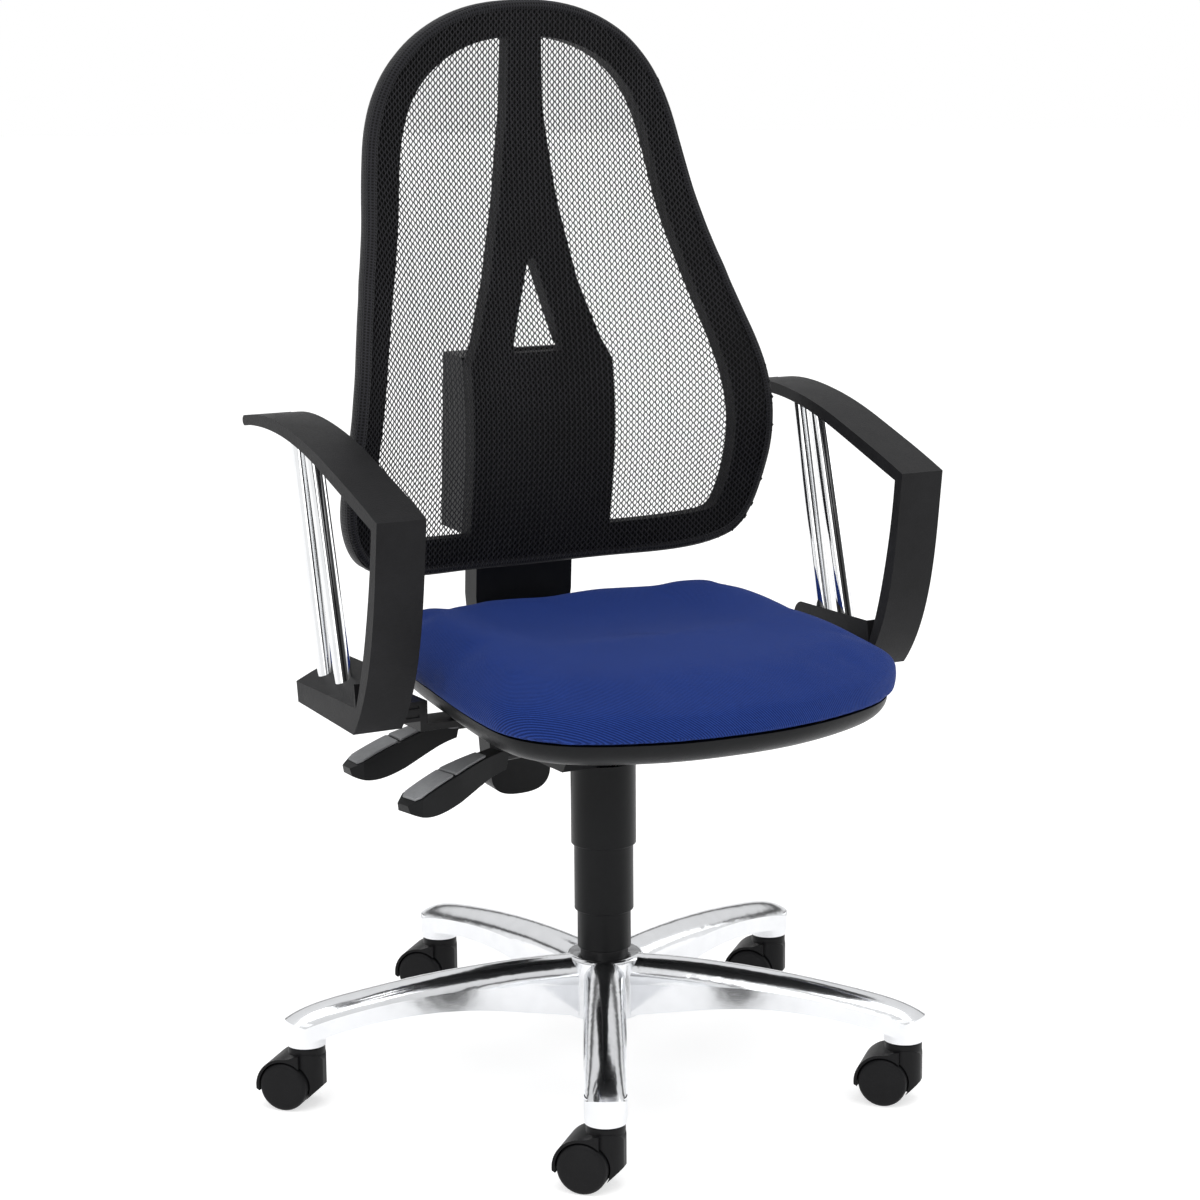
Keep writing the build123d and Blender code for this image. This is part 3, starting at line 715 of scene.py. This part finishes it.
def build_rim():
    """The knit's hemmed edge, wrapped over the outer side of the frame."""
    places = rim_walk()
    count = len(places)
    work = bmesh.new()
    rings = []
    runs = [0.0]
    for i, place in enumerate(places):
        before, after = places[i - 1], places[(i + 1) % count]
        tangent = (after - before).normalized()
        outward = Vector((tangent.z, 0, -tangent.x)).normalized()
        ring = [place + outward * out + Vector((0, back, 0)) for out, back in RIM_SECTION]
        rings.append([work.verts.new(spot) for spot in ring])
        runs.append(runs[-1] + (after - place).length)
    widths = [0.0]
    for (out, back), (out_next, back_next) in zip(RIM_SECTION, RIM_SECTION[1:]):
        widths.append(widths[-1] + ((out_next - out) ** 2 + (back_next - back) ** 2) ** 0.5)
    chart = work.loops.layers.uv.new("rim")
    for i in range(count):
        ring, following = rings[i], rings[(i + 1) % count]
        for j in range(len(RIM_SECTION) - 1):
            face = work.faces.new((ring[j], ring[j + 1], following[j + 1], following[j]))
            face.smooth = True
            spots = ((i, j), (i, j + 1), (i + 1, j + 1), (i + 1, j))
            for loop, (a, b) in zip(face.loops, spots):
                loop[chart].uv = (runs[a], widths[b])
    bmesh.ops.recalc_face_normals(work, faces=work.faces)
    mesh = bpy.data.meshes.new("back_rim")
    work.to_mesh(mesh)
    work.free()
    mesh.materials.append(rim_knit())
    obj = new_piece("back_rim", mesh, "backrest", "black_mesh", "back_mesh")
    thick = obj.modifiers.new("thick", "SOLIDIFY")
    thick.thickness = 0.0012
    thick.offset = 0
    return obj


def build_back():
    knit = build_knit()
    rim = build_rim()


# ---------------------------------------------------------------- studio


def build_floor():
    mesh = bpy.data.meshes.new("floor")
    work = bmesh.new()
    bmesh.ops.create_circle(work, cap_ends=True, segments=96, radius=40.0)
    work.to_mesh(mesh)
    work.free()
    floor = bpy.data.objects.new("floor", mesh)
    bpy.context.scene.collection.objects.link(floor)
    paper = Finish("pale floor", roughness=0.9, specular_ior_level=0.1, emission_strength=0.6)
    paper.set(emission_color=(1.0, 1.0, 1.0, 1.0))
    cloud = paper.noise(paper.place(), 0.8, 2.0)
    paper.set(base_color=paper.ramp(cloud, (0.3, (0.62, 0.62, 0.62)), (0.7, (0.64, 0.64, 0.64))))
    mesh.materials.append(paper.material)


def area_light(name, place, aim, size, power):
    data = bpy.data.lights.new(name, "AREA")
    data.shape = "RECTANGLE"
    data.size, data.size_y = size
    data.energy = power
    light = bpy.data.objects.new(name, data)
    light.location = place
    light.rotation_euler = (Vector(aim) - Vector(place)).to_track_quat("-Z", "Y").to_euler()
    bpy.context.scene.collection.objects.link(light)


def build_light():
    world = bpy.data.worlds.new("studio")
    bpy.context.scene.world = world
    sky = Shading(world)
    height = sky.axes(sky.wire("ShaderNodeTexCoord", "Generated"))[2]
    tones = sky.ramp(height, *((place, (tone, tone, tone)) for place, tone in WORLD_TONES))
    light = sky.wire("ShaderNodeBackground", "Background", {}, {"Color": tones, "Strength": 1.0})
    sky.node("ShaderNodeOutputWorld", {}, {"Surface": light})
    area_light("overhead", (-0.6, -0.8, 3.4), (0, 0, 0.5), (2.6, 2.2), 45)
    area_light("front", (-2.6, -2.2, 1.9), (0, 0, 0.5), (1.2, 1.8), 14)
    area_light("side", (2.8, -0.6, 1.6), (0, 0, 0.7), (1.0, 1.8), 10)


def build_camera():
    data = bpy.data.cameras.new("camera")
    data.lens = CAMERA_LENS
    data.sensor_width = 36.0
    camera = bpy.data.objects.new("camera", data)
    camera.location = CAMERA_PLACE
    facing = Vector(CAMERA_AIM).to_track_quat("-Z", "Y").to_matrix()
    camera.rotation_euler = (facing @ Matrix.Rotation(CAMERA_ROLL, 3, "Z")).to_euler()
    bpy.context.scene.collection.objects.link(camera)
    bpy.context.scene.camera = camera


def main():
    finish_nodes()
    build_softened()
    build_cushion()
    build_back()
    build_floor()
    build_light()
    build_camera()
    bpy.context.scene.view_settings.view_transform = "Standard"


main()
